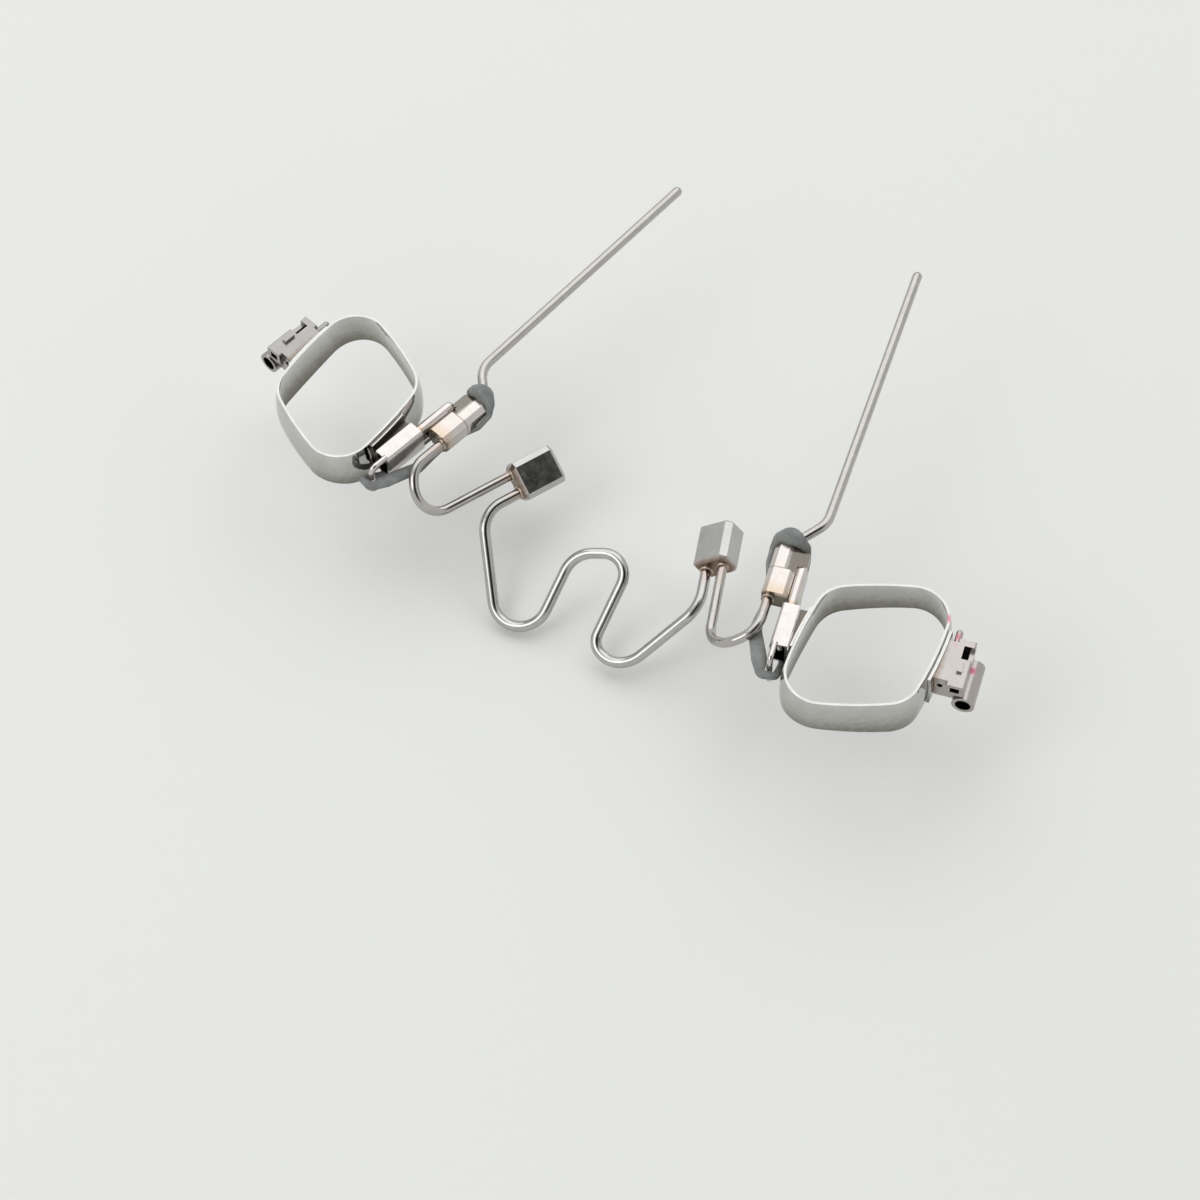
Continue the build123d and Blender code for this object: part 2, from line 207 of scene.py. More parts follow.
def from_block(side, offset):
    """A point at an offset from the block's centre, along the part's own axes."""
    centre = block_frame(side).translation + Vector(offset)
    return Vector((side["sign"] * centre.x, centre.y, centre.z))


def arm_route(side):
    front = BLOCK_LENGTH / 2
    root = [(ARM_OUT, front - SOCKET_DEPTH, 0), (ARM_OUT, front + ARM_LEAD, 0)]
    elbow = Vector(side["arm_elbow"])
    reach = Vector((0, ARM_LENGTH - side["arm_cut"], 0))
    run = turn(side["arm_toe_in"], "Z") @ turn(ARM_RISE, "X") @ reach
    points = on_side(side, block_frame, root)
    points += [from_block(side, elbow), from_block(side, elbow + run)]
    return points, [ARM_BEND_RADIUS] * len(points)


def loop_route(side):
    block_rear = -BLOCK_LENGTH / 2
    crimp_rear = -CRIMP_LENGTH / 2
    at_block = [(-LOOP_IN, block_rear + SOCKET_DEPTH, 0), (-LOOP_IN, block_rear - LOOP_LEAD, 0)]
    at_crimp = [(CRIMP_PITCH / 2, crimp_rear - LOOP_TAIL, 0), (CRIMP_PITCH / 2, crimp_rear + CRIMP_DEPTH, 0)]
    points = on_side(side, block_frame, at_block)
    points += [from_block(side, side["loop_turn"])]
    points += on_side(side, crimp_frame, at_crimp)
    return points, [LOOP_BEND_RADIUS] * len(points)


def spring_end(side):
    rear = -CRIMP_LENGTH / 2
    ends = [(-CRIMP_PITCH / 2, rear + CRIMP_DEPTH, 0), (-CRIMP_PITCH / 2, rear - SPRING_LEAD, 0)]
    return on_side(side, crimp_frame, ends)


def spring_route():
    fall = math.tan(math.radians(SPRING_FALL))
    middle = [Vector((x, y, SPRING_LEVEL + fall * y)) for x, y, radius in SPRING_BENDS]
    lead = [SPRING_LEAD_RADIUS] * 2
    radii = lead + [radius for x, y, radius in SPRING_BENDS] + lead
    return spring_end(SIDES["left"]) + middle + spring_end(SIDES["right"])[::-1], radii


# Node helpers for the finishes and the geometry trees

FLOAT = "NodeSocketFloat"
VECTOR = "NodeSocketVector"
WHOLE = "NodeSocketInt"
NOISE_MIDDLE = 0.5

# Sockets of a Mix node by number, because their names repeat
MIX_WEIGHT = 0
MIX_VALUES = (2, 3)
MIX_COLOURS = (6, 7)
MIXED_VALUE = 0
MIXED_COLOUR = 2


def link(tree, start, end):
    tree.links.new(start, end)


def add(tree, kind, values=None, **settings):
    """A node with its properties set, and each input set to a value or linked to a socket."""
    node = tree.nodes.new(kind)
    for key, value in settings.items():
        setattr(node, key, value)
    for key, value in (values or {}).items():
        if isinstance(value, bpy.types.NodeSocket):
            link(tree, value, node.inputs[key])
        else:
            node.inputs[key].default_value = value
    return node


def maths(tree, operation, *values):
    return add(tree, "ShaderNodeMath", dict(enumerate(values)), operation=operation).outputs["Value"]


def vector_maths(tree, operation, *values, result="Vector"):
    return add(tree, "ShaderNodeVectorMath", dict(enumerate(values)), operation=operation).outputs[result]


def mixed_value(tree, weight, first, second):
    values = {MIX_WEIGHT: weight} | dict(zip(MIX_VALUES, (first, second)))
    return add(tree, "ShaderNodeMix", values, data_type="FLOAT").outputs[MIXED_VALUE]


def mixed_colour(tree, weight, first, second):
    """One colour over another, each a plain colour or a socket."""
    colours = [(*tone, 1.0) if isinstance(tone, tuple) else tone for tone in (first, second)]
    values = {MIX_WEIGHT: weight} | dict(zip(MIX_COLOURS, colours))
    return add(tree, "ShaderNodeMix", values, data_type="RGBA").outputs[MIXED_COLOUR]


def ramp(tree, value, stops):
    """A change between two tones, each given with its place on the ramp."""
    node = add(tree, "ShaderNodeValToRGB", {"Fac": value})
    for element, (position, tone) in zip(node.color_ramp.elements, stops):
        element.position = position
        element.color = (*tone, 1.0)
    return node.outputs["Color"]


# Finishes: shared shader groups


def group(name, inputs, outputs):
    """An empty shader group with named sockets, its inputs with their defaults."""
    tree = bpy.data.node_groups.new(name, "ShaderNodeTree")
    for label, kind, default in inputs:
        socket = tree.interface.new_socket(label, in_out="INPUT", socket_type=kind)
        if default is not None:
            socket.default_value = default
    for label in outputs:
        tree.interface.new_socket(label, in_out="OUTPUT", socket_type=FLOAT)
    given = tree.nodes.new("NodeGroupInput")
    return tree, given.outputs, tree.nodes.new("NodeGroupOutput").inputs


def polish_group():
    """Handling marks on polished metal: cloudy gloss, fine grain and a slow change of tone."""
    inputs = [
        ("Place", VECTOR, None),
        ("Grain stretch", VECTOR, (1.0, 1.0, 1.0)),
        ("Grain scale", FLOAT, 6.0),
        ("Gloss low", FLOAT, 0.1),
        ("Gloss high", FLOAT, 0.25),
    ]
    tree, given, made = group("polish_marks", inputs, ["Roughness", "Height", "Tone"])
    cloud_look = {"Vector": given["Place"], "Scale": 0.9, "Detail": 4.0, "Roughness": 0.6}
    cloud = add(tree, "ShaderNodeTexNoise", cloud_look).outputs["Fac"]
    stretched = vector_maths(tree, "MULTIPLY", given["Place"], given["Grain stretch"])
    grain_look = {"Vector": stretched, "Scale": given["Grain scale"], "Detail": 3.0, "Roughness": 0.55}
    grain = add(tree, "ShaderNodeTexNoise", grain_look).outputs["Fac"]
    both = maths(tree, "ADD", cloud, grain)
    gloss_span = {"Value": both, "From Min": 0.7, "From Max": 1.3}
    gloss_span |= {"To Min": given["Gloss low"], "To Max": given["Gloss high"]}
    gloss = add(tree, "ShaderNodeMapRange", gloss_span).outputs["Result"]
    tone_span = {"Value": both, "From Min": 0.75, "From Max": 1.25}
    tone = add(tree, "ShaderNodeMapRange", tone_span).outputs["Result"]
    link(tree, gloss, made["Roughness"])
    link(tree, grain, made["Height"])
    link(tree, tone, made["Tone"])
    return tree


def stain_and_shade_group():
    """A ragged patch, used for stains and for painted shade, that is full at distance 0 and gone at its
    reach, in millimetres.
    """
    inputs = [
        ("Place", VECTOR, None),
        ("Distance", FLOAT, 1.0),
        ("Reach", FLOAT, 1.0),
        ("Ragged", FLOAT, 0.5),
    ]
    tree, given, made = group("ragged_stain_and_shade", inputs, ["Mask"])
    blotch_look = {"Vector": given["Place"], "Scale": 2.2, "Detail": 3.0}
    blotch = add(tree, "ShaderNodeTexNoise", blotch_look).outputs["Fac"]
    centred = maths(tree, "SUBTRACT", blotch, NOISE_MIDDLE)
    uneven = maths(tree, "MULTIPLY_ADD", centred, given["Ragged"], given["Distance"])
    span = {"Value": uneven, "From Max": given["Reach"], "To Min": 1.0, "To Max": 0.0}
    mask = add(tree, "ShaderNodeMapRange", span, interpolation_type="SMOOTHSTEP").outputs["Result"]
    link(tree, mask, made["Mask"])
    return tree


def hole_group():
    """Painted shade inside a hole along Y: 1 inside its half sizes and length, 0 outside."""
    inputs = [
        ("Place", VECTOR, None),
        ("Centre", VECTOR, (0, 0, 0)),
        ("Half size", VECTOR, (1, 1, 1)),
        ("Round", FLOAT, 1.0),
    ]
    tree, given, made = group("hole_inside", inputs, ["Mask"])
    offset = vector_maths(tree, "SUBTRACT", given["Place"], given["Centre"])
    share = vector_maths(tree, "DIVIDE", offset, given["Half size"])
    size = vector_maths(tree, "ABSOLUTE", share)
    axes = add(tree, "ShaderNodeSeparateXYZ", {"Vector": size}).outputs
    flat = add(tree, "ShaderNodeCombineXYZ", {"X": axes["X"], "Z": axes["Z"]}).outputs["Vector"]
    radial = vector_maths(tree, "LENGTH", flat, result="Value")
    square = maths(tree, "MAXIMUM", axes["X"], axes["Z"])
    shape = mixed_value(tree, given["Round"], square, radial)
    soft_edge = {"Value": shape, "From Min": 1.0, "From Max": 1.05, "To Min": 1.0, "To Max": 0.0}
    across = add(tree, "ShaderNodeMapRange", soft_edge).outputs["Result"]
    along = maths(tree, "LESS_THAN", axes["Y"], 1.0)
    link(tree, maths(tree, "MULTIPLY", across, along), made["Mask"])
    return tree


POLISH = polish_group()
STAIN_AND_SHADE = stain_and_shade_group()
HOLE = hole_group()

# Bare metals: colour, gloss from bright to dull, and grain

GRAIN_DEPTH = 0.02
DULLED = 0.86
BAND_STEEL = {"colour": (0.6, 0.595, 0.575), "gloss": (0.04, 0.12), "grain": (1, 1, 5), "bump": 0.03}
CAST_STEEL = {"gloss": (0.16, 0.34), "grain_scale": 9.0, "bump": 0.3}
# The left casting is painted darker than the right: painted shade for the dark surroundings it mirrors
CAST_TONE_AND_SHADE = {"right": (0.47, 0.435, 0.42), "left": (0.37, 0.355, 0.345)}
SHEATH_STEEL = {"colour": (0.68, 0.64, 0.62), "gloss": (0.12, 0.28), "grain": (3, 0.4, 3), "bump": 0.06}
INSERT_STEEL = {"colour": (0.68, 0.63, 0.605), "gloss": (0.1, 0.22), "grain": (4, 0.3, 4)}
BLOCK_STEEL = {"colour": (0.67, 0.62, 0.59), "gloss": (0.12, 0.26), "grain": (0.5, 3, 3), "bump": 0.06}
CRIMP_STEEL = {"colour": (0.52, 0.52, 0.51), "gloss": (0.1, 0.26), "grain": (4, 0.35, 4), "bump": 0.1}
DRAWN_WIRE = {"grain_scale": 4.0, "bump": 0.03}
WIRE_METAL = {"colour": (0.5, 0.48, 0.46), "gloss": (0.07, 0.16)} | DRAWN_WIRE
SPRING_METAL = {"colour": (0.5, 0.495, 0.485), "gloss": (0.05, 0.13)} | DRAWN_WIRE
BRAZE_METAL = {"colour": (0.58, 0.5, 0.42), "gloss": (0.2, 0.38), "grain_scale": 5.0, "bump": 0.2}

# Stains and painted shade: reach in millimetres, colour, strength, how ragged the edge is, and its roughness

HEAT_STRAW = (0.56, 0.42, 0.28)
HEAT_BROWN = (0.2, 0.14, 0.1)
HEAT_ROSE = (0.5, 0.38, 0.33)
# Brown-grey of the painted shade on the block's outer bevel
BEVEL_SHADE_BROWN = (0.25, 0.21, 0.18)
# Near-black colour for painted shade in grooves and under the blocks
PAINTED_SHADE_DARK = (0.085, 0.08, 0.06)
# Painted shade: the band's wall darker towards its foot, for the shade it mirrors there
BAND_PAINTED_SHADE = {"reach": 4.2, "colour": (0.3, 0.29, 0.265), "strength": 0.9, "ragged": 1.4}
BAND_FOOT_PAINTED_SHADE = {"reach": 2.2, "colour": (0.15, 0.14, 0.115), "strength": 0.8, "ragged": 1.2}
CAST_ROOT_HEAT = {"reach": 0.7, "colour": HEAT_BROWN, "strength": 0.8}
# Painted shade in the groove along the sheath's flange
FLANGE_PAINTED_SHADE = {"reach": 0.08, "colour": PAINTED_SHADE_DARK, "strength": 0.9, "ragged": 0.1, "rough": 0.3}
INSERT_HEAT = {"reach": 0.45, "colour": HEAT_STRAW, "strength": 0.85, "ragged": 0.3}
BLOCK_HEAT = {"reach": 1.5, "colour": HEAT_STRAW, "strength": 0.6, "ragged": 0.9}
# Painted shade under the block's rear end, where it stands over the sheath
BLOCK_REAR_PAINTED_SHADE = {"reach": 0.45, "colour": PAINTED_SHADE_DARK, "strength": 0.85, "ragged": 0.4, "rough": 0.35}
# Painted shade along the foot of the block
BLOCK_FOOT_PAINTED_SHADE = {"reach": 0.75, "colour": PAINTED_SHADE_DARK, "strength": 0.75, "ragged": 0.6}
# Painted shade on the block's outer bevel facet
BLOCK_BEVEL_PAINTED_SHADE = {"reach": 0.25, "colour": BEVEL_SHADE_BROWN, "strength": 0.75, "ragged": 0.4}
BLOCK_SHOULDER_LINE = {"reach": 0.09, "colour": HEAT_BROWN, "strength": 0.7, "ragged": 0.05}
CRIMP_HEAT = {"reach": 0.55, "colour": HEAT_ROSE, "strength": 0.75, "ragged": 0.5}
CRIMP_REAR_HEAT = {"reach": 0.3, "colour": HEAT_BROWN, "strength": 0.85, "ragged": 0.3, "rough": 0.35}
WIRE_HEAT = {"reach": 2.2, "colour": HEAT_ROSE, "strength": 0.6, "ragged": 0.9}
WIRE_JOINT_HEAT = {"reach": 0.4, "colour": HEAT_BROWN, "strength": 0.8, "ragged": 0.3}
BEAD_HEAT = {"reach": 3.0, "colour": HEAT_BROWN, "strength": 0.5, "ragged": 2.0}

# Places of the stains and painted shade, in millimetres in each piece's own frame

CAST_ROOT = TUBE_STAND_OFF + 0.1
FLANGE_FROM = 0.78
FLANGE_EDGE = 1.36
INSERT_HEAT_AT = SHEATH_LENGTH / 2 + 0.15
BLOCK_REAR_SHADE_TOP = 0.2 * BLOCK_HEIGHT
BLOCK_BEVEL_FROM = 0.5
BLOCK_BEVEL_START = 0.15
BEAD_HEAT_BELOW = 7.5

# Painted shade in holes, and marker ink

BORE_PAINTED_SHADE = (0.012, 0.012, 0.011)
BORE_ROUGH = 0.6
TUBE_REACH = 3.0
ROUND = 1.0
SQUARE = 0.0
MARKER_PINK = (0.8, 0.26, 0.37)
INK_RAGGED = 0.6
INK_ROUGH = 0.4
TUBE_MARKS = [((0.8, 0.45, -0.7), 0.55), ((-0.825, 2.5, 0.3), 0.5), ((-0.9, 1.45, 0.25), 0.4)]
RIM_MARK = ((4.86, 4.54, 0.0), 0.6)
MARKED_SIDE = "right"


class Finish:
    """A metal finish in a piece's own frame, in millimetres, with stains and painted shade laid over it."""

    def __init__(
        self, name, colour, gloss, side=None, frame_of=None, grain=(1, 1, 1), grain_scale=6.0, bump=0.05
    ):
        self.material = bpy.data.materials.new(name)
        self.material.use_nodes = True
        self.tree = self.material.node_tree
        self.shader = self.tree.nodes["Principled BSDF"]
        self.shader.inputs["Metallic"].default_value = 1.0
        self.place = self.own_place(side, frame_of)
        look = {"Gloss low": gloss[0], "Gloss high": gloss[1]}
        look |= {"Grain stretch": grain, "Grain scale": grain_scale}
        marks = self.use(POLISH, look).outputs
        relief = {"Height": marks["Height"], "Strength": bump, "Distance": GRAIN_DEPTH * MM}
        bumps = add(self.tree, "ShaderNodeBump", relief)
        link(self.tree, bumps.outputs["Normal"], self.shader.inputs["Normal"])
        dulled = tuple(channel * DULLED for channel in colour)
        self.colour = mixed_colour(self.tree, marks["Tone"], dulled, colour)
        self.roughness = marks["Roughness"]
        self.bare = None
        self.wire_up()

    def own_place(self, side, frame_of):
        """Object coordinates carried into the piece's own frame."""
        place = add(self.tree, "ShaderNodeTexCoord").outputs["Object"]
        sign, at = 1, Matrix.Identity(4)
        if side:
            sign, at = side["sign"], frame_of(side)
        handed = vector_maths(self.tree, "MULTIPLY", place, (sign, 1, 1))
        values = {"Vector": handed, "Location": at.translation * MM}
        values |= {"Rotation": at.to_euler(), "Scale": (MM, MM, MM)}
        return add(self.tree, "ShaderNodeMapping", values, vector_type="TEXTURE").outputs["Vector"]

    def use(self, shared, values):
        """A shared group placed in this material."""
        return add(self.tree, "ShaderNodeGroup", {"Place": self.place} | values, node_tree=shared)

    def wire_up(self):
        link(self.tree, self.colour, self.shader.inputs["Base Color"])
        link(self.tree, self.roughness, self.shader.inputs["Roughness"])

    def axis(self, name, shift=0.0, scale=1.0):
        """Distance along one axis of the piece's frame: scale times the place, plus shift."""
        split = add(self.tree, "ShaderNodeSeparateXYZ", {"Vector": self.place})
        return maths(self.tree, "MULTIPLY_ADD", split.outputs[name], scale, shift)

    def off_axis(self, name, centre):
        """Distance to either side of a plane across one axis."""
        return maths(self.tree, "ABSOLUTE", self.axis(name, -centre))

    def both(self, first, second):
        """Distance to a place that has to be near in two ways."""
        return maths(self.tree, "MAXIMUM", first, second)

    def attribute(self, name, scale):
        source = add(self.tree, "ShaderNodeAttribute", attribute_name=name)
        return maths(self.tree, "MULTIPLY", source.outputs["Fac"], scale)

    # Lays a ragged patch of colour, used both for real stains and for painted shade
    def stain_and_shade(self, distance, reach, colour, strength, ragged=0.5, rough=None):
        look = {"Distance": distance, "Reach": reach, "Ragged": ragged}
        mask = self.use(STAIN_AND_SHADE, look).outputs["Mask"]
        self.lay(maths(self.tree, "MULTIPLY", mask, strength), colour, rough)

    def hole(self, centre, half_size, half_length, outline):
        """Paints shade into a hole along Y; its centre and half size are given across and up."""
        look = {"Centre": (centre[0], 0, centre[1]), "Round": outline}
        look |= {"Half size": (half_size[0], half_length, half_size[1])}
        self.lay(self.use(HOLE, look).outputs["Mask"], BORE_PAINTED_SHADE, BORE_ROUGH)

    def mark(self, point, reach):
        """A dab of marker ink, which is not metallic."""
        distance = vector_maths(self.tree, "DISTANCE", self.place, point, result="Value")
        look = {"Distance": distance, "Reach": reach, "Ragged": INK_RAGGED}
        mask = self.use(STAIN_AND_SHADE, look).outputs["Mask"]
        self.lay(mask, MARKER_PINK, INK_ROUGH)
        bare = maths(self.tree, "SUBTRACT", 1.0, mask)
        if self.bare is not None:
            bare = maths(self.tree, "MULTIPLY", self.bare, bare)
        self.bare = bare
        link(self.tree, bare, self.shader.inputs["Metallic"])

    def lay(self, mask, colour, rough=None):
        """Lays a colour, and a roughness where one is given, over what is there."""
        self.colour = mixed_colour(self.tree, mask, self.colour, colour)
        if rough is not None:
            self.roughness = mixed_value(self.tree, mask, self.roughness, rough)
        self.wire_up()


# Finishes of the pieces


def band_finish(side_name, side):
    finish = Finish(f"{side_name}_band_steel", side=side, frame_of=band_frame, **BAND_STEEL)
    # Painted shade, darker towards the band's foot
    finish.stain_and_shade(finish.axis("Z", BAND_HEIGHT), **BAND_PAINTED_SHADE)
    finish.stain_and_shade(finish.axis("Z", BAND_HEIGHT), **BAND_FOOT_PAINTED_SHADE)
    if side_name == MARKED_SIDE:
        finish.mark(*RIM_MARK)
    return finish


def tube_finish(side_name, side):
    # The left side's darker tone is painted shade
    tone = CAST_TONE_AND_SHADE[side_name]
    finish = Finish(f"{side_name}_cast_steel", tone, side=side, frame_of=tube_frame, **CAST_STEEL)
    finish.stain_and_shade(finish.axis("X", CAST_ROOT), **CAST_ROOT_HEAT)
    headgear, slot, pilot = (HEADGEAR_OUT, -HEADGEAR_DROP), (0, 0), (-PILOT_IN, -PILOT_DROP)
    # Painted shade inside the bores
    finish.hole(headgear, (HEADGEAR_BORE_RADIUS, HEADGEAR_BORE_RADIUS), TUBE_REACH, ROUND)
    finish.hole(slot, (SLOT_WIDTH / 2, SLOT_HEIGHT / 2), TUBE_REACH, SQUARE)
    finish.hole(pilot, (PILOT_RADIUS, PILOT_RADIUS), TUBE_REACH, ROUND)
    if side_name == MARKED_SIDE:
        for point, reach in TUBE_MARKS:
            finish.mark(point, reach)
    return finish


def sheath_finish(side_name, side):
    finish = Finish(f"{side_name}_sheath_steel", side=side, frame_of=sheath_frame, **SHEATH_STEEL)
    # Painted shade in the flange's groove
    flange_face = finish.both(finish.axis("X", FLANGE_FROM, scale=-1.0), finish.axis("Z", -FLANGE_EDGE))
    finish.stain_and_shade(flange_face, **FLANGE_PAINTED_SHADE)
    lumen = (INSERT_WIRE / 2 + SLIDING_FIT, INSERT_WIRE + INSERT_GAP / 2 + SLIDING_FIT)
    # Painted shade inside the sheath's lumen
    finish.hole((0, 0), lumen, SHEATH_LENGTH / 2, SQUARE)
    return finish


def insert_finish(side_name, side):
    finish = Finish(f"{side_name}_insert_steel", side=side, frame_of=sheath_frame, **INSERT_STEEL)
    finish.stain_and_shade(finish.off_axis("Y", INSERT_HEAT_AT), **INSERT_HEAT)
    return finish


def block_finish(side_name, side):
    finish = Finish(f"{side_name}_block_steel", side=side, frame_of=block_frame, **BLOCK_STEEL)
    rear = BLOCK_LENGTH / 2
    finish.stain_and_shade(finish.axis("Y", rear), **BLOCK_HEAT)
    # Painted shade on the lower part of the block's rear end
    rear_end = finish.both(finish.axis("Y", rear), finish.axis("Z", -BLOCK_REAR_SHADE_TOP))
    finish.stain_and_shade(rear_end, **BLOCK_REAR_PAINTED_SHADE)
    # Painted shade, darker towards the block's foot
    finish.stain_and_shade(finish.axis("Z", BLOCK_HEIGHT / 2), **BLOCK_FOOT_PAINTED_SHADE)
    # Painted shade on the outer bevel facet of the block's front half
    across_bevel = finish.axis("X", BLOCK_BEVEL_FROM, scale=-1.0)
    outer_bevel = finish.both(across_bevel, finish.axis("Y", BLOCK_BEVEL_START, scale=-1.0))
    finish.stain_and_shade(outer_bevel, **BLOCK_BEVEL_PAINTED_SHADE)
    finish.stain_and_shade(finish.off_axis("Y", 0.0), **BLOCK_SHOULDER_LINE)
    return finish


def crimp_finish(side_name, side):
    finish = Finish(f"{side_name}_crimp_steel", side=side, frame_of=crimp_frame, **CRIMP_STEEL)
    rear = CRIMP_LENGTH / 2
    finish.stain_and_shade(finish.axis("Y", rear), **CRIMP_HEAT)
    finish.stain_and_shade(finish.axis("Y", rear), **CRIMP_REAR_HEAT)
    return finish


def wire_finish(name, metal):
    finish = Finish(name, **metal)
    joint = finish.attribute("to_joint", 1 / MM)
    finish.stain_and_shade(joint, **WIRE_HEAT)
    finish.stain_and_shade(joint, **WIRE_JOINT_HEAT)
    return finish


def braze_finish():
    finish = Finish("braze_bead", **BRAZE_METAL)
    finish.stain_and_shade(finish.axis("Z", BEAD_HEAT_BELOW), **BEAD_HEAT)
    return finish


ELASTOMER_TONES = ((0.3, (0.17, 0.18, 0.175)), (0.7, (0.265, 0.275, 0.268)))
ELASTOMER_SHEEN = 0.3
ELASTOMER_GRAIN = 0.03


def elastomer():
    material = bpy.data.materials.new("grey_elastomer")
    material.use_nodes = True
    tree = material.node_tree
    shader = tree.nodes["Principled BSDF"]
    shader.inputs["Specular IOR Level"].default_value = ELASTOMER_SHEEN
    place = add(tree, "ShaderNodeTexCoord").outputs["Object"]
    cloud = add(tree, "ShaderNodeTexNoise", {"Vector": place, "Scale": 1600.0, "Detail": 4.0}).outputs["Fac"]
    rough = add(tree, "ShaderNodeMapRange", {"Value": cloud, "To Min": 0.5, "To Max": 0.75})
    relief = {"Height": cloud, "Strength": 0.2, "Distance": ELASTOMER_GRAIN * MM}
    bump = add(tree, "ShaderNodeBump", relief)
    link(tree, ramp(tree, cloud, ELASTOMER_TONES), shader.inputs["Base Color"])
    link(tree, rough.outputs["Result"], shader.inputs["Roughness"])
    link(tree, bump.outputs["Normal"], shader.inputs["Normal"])
    return material


WIRE_STEEL = wire_finish("drawn_wire_steel", WIRE_METAL).material
SPRING_ALLOY = wire_finish("spring_alloy", SPRING_METAL).material
BRAZE = braze_finish().material
ELASTOMER = elastomer()

NODE_FINISH = {
    "molar_band": band_finish,
    "buccal_pad": band_finish,
    "buccal_tube": tube_finish,
    "lingual_sheath": sheath_finish,
    "sheath_insert": insert_finish,
    "connector_block": block_finish,
    "crimp_block": crimp_finish,
}


def finish_nodes():
    for side_name, side in SIDES.items():
        for piece, finish in NODE_FINISH.items():
            material = finish(side_name, side).material
            for holder in NODES[f"{side_name}_{piece}"].material_slots:
                holder.material = material


# Wires, beads and elastic rings: Geometry Nodes


def new_tree(name, inputs):
    """A geometry tree with a mesh input, named sizes, a finish and one result."""
    tree = bpy.data.node_groups.new(name, "GeometryNodeTree")
    tree.interface.new_socket("Route", in_out="INPUT", socket_type="NodeSocketGeometry")
    for label, kind, default in inputs:
        socket = tree.interface.new_socket(label, in_out="INPUT", socket_type=kind)
        socket.default_value = default
    tree.interface.new_socket("Finish", in_out="INPUT", socket_type="NodeSocketMaterial")
    tree.interface.new_socket("Result", in_out="OUTPUT", socket_type="NodeSocketGeometry")
    given = tree.nodes.new("NodeGroupInput")
    return tree, given.outputs, tree.nodes.new("NodeGroupOutput").inputs


def named(tree, name, kind="FLOAT"):
    return add(tree, "GeometryNodeInputNamedAttribute", {"Name": name}, data_type=kind).outputs["Attribute"]


def position(tree):
    return add(tree, "GeometryNodeInputPosition").outputs["Position"]


def store(tree, geometry, name, value, kind="FLOAT"):
    values = {"Geometry": geometry, "Name": name, "Value": value}
    node = add(tree, "GeometryNodeStoreNamedAttribute", values, data_type=kind, domain="POINT")
    return node.outputs["Geometry"]


def rounded_route(tree, given):
    """The route's corners rounded and its length divided evenly."""
    curve = add(tree, "GeometryNodeMeshToCurve", {"Mesh": given["Route"]}).outputs["Curve"]
    bends = {"Curve": curve, "Radius": named(tree, "bend_radius"), "Count": 24, "Limit Radius": True}
    bent = add(tree, "GeometryNodeFilletCurve", bends, mode="POLY").outputs["Curve"]
    steps = {"Curve": bent, "Length": given["Step"]}
    return add(tree, "GeometryNodeResampleCurve", steps, mode="LENGTH").outputs["Curve"]


def circle(tree, sides, radius):
    values = {"Resolution": sides, "Radius": radius}
    return add(tree, "GeometryNodeCurvePrimitiveCircle", values, mode="RADIUS").outputs["Curve"]


def skin(tree, given, curve, scale):
    """A round skin along a curve, closed at its ends."""
    section = circle(tree, given["Sides"], given["Radius"])
    values = {"Curve": curve, "Profile Curve": section, "Scale": scale, "Fill Caps": True}
    return add(tree, "GeometryNodeCurveToMesh", values).outputs["Mesh"]


def roughened(tree, geometry, fineness, depth):
    """A surface pushed in and out along its normals."""
    noise = add(tree, "ShaderNodeTexNoise", {"Scale": fineness, "Detail": 2.0})
    swing = maths(tree, "SUBTRACT", noise.outputs["Fac"], NOISE_MIDDLE)
    normal = add(tree, "GeometryNodeInputNormal").outputs["Normal"]
    push = {0: normal, "Scale": maths(tree, "MULTIPLY", swing, depth)}
    offset = add(tree, "ShaderNodeVectorMath", push, operation="SCALE").outputs["Vector"]
    return add(tree, "GeometryNodeSetPosition", {"Geometry": geometry, "Offset": offset}).outputs["Geometry"]


def realized(tree, geometry):
    return add(tree, "GeometryNodeRealizeInstances", {"Geometry": geometry}).outputs["Geometry"]


def finished(tree, given, made, geometry):
    smooth = add(tree, "GeometryNodeSetShadeSmooth", {"Geometry": geometry}).outputs["Geometry"]
    painting = {"Geometry": realized(tree, smooth), "Material": given["Finish"]}
    painted = add(tree, "GeometryNodeSetMaterial", painting).outputs["Geometry"]
    link(tree, painted, made["Result"])
    return tree


ROUTE_SIZES = [("Radius", FLOAT, 0.4 * MM), ("Step", FLOAT, 0.2 * MM), ("Sides", WHOLE, 28)]
WRINKLE_FINENESS = 900.0
BEAD_FINENESS = 1500.0
BEAD_SIDES = 32
BEAD_SECTION_SIDES = 12


def wire_tree():
    """Round wire along a route, its cut ends eased, with the distance to its brazed joints."""
    sockets = [("Start socket", FLOAT, 0.0), ("End socket", FLOAT, 0.0), ("End ease", FLOAT, 0.12 * MM)]
    tree, given, made = new_tree("wire_along_route", ROUTE_SIZES + sockets)
    curve = rounded_route(tree, given)
    along = add(tree, "GeometryNodeSplineParameter").outputs["Length"]
    total = add(tree, "GeometryNodeSplineLength").outputs["Length"]
    to_end = maths(tree, "SUBTRACT", total, along)
    from_start = maths(tree, "SUBTRACT", along, given["Start socket"])
    from_end = maths(tree, "SUBTRACT", to_end, given["End socket"])
    measured = store(tree, curve, "to_joint", maths(tree, "MINIMUM", from_start, from_end))
    to_cut = maths(tree, "MINIMUM", along, to_end)
    easing = {"Value": to_cut, "From Max": given["End ease"], "To Min": 0.7, "To Max": 1.0}
    eased = add(tree, "ShaderNodeMapRange", easing, interpolation_type="SMOOTHSTEP").outputs["Result"]
    return finished(tree, given, made, skin(tree, given, measured, eased))


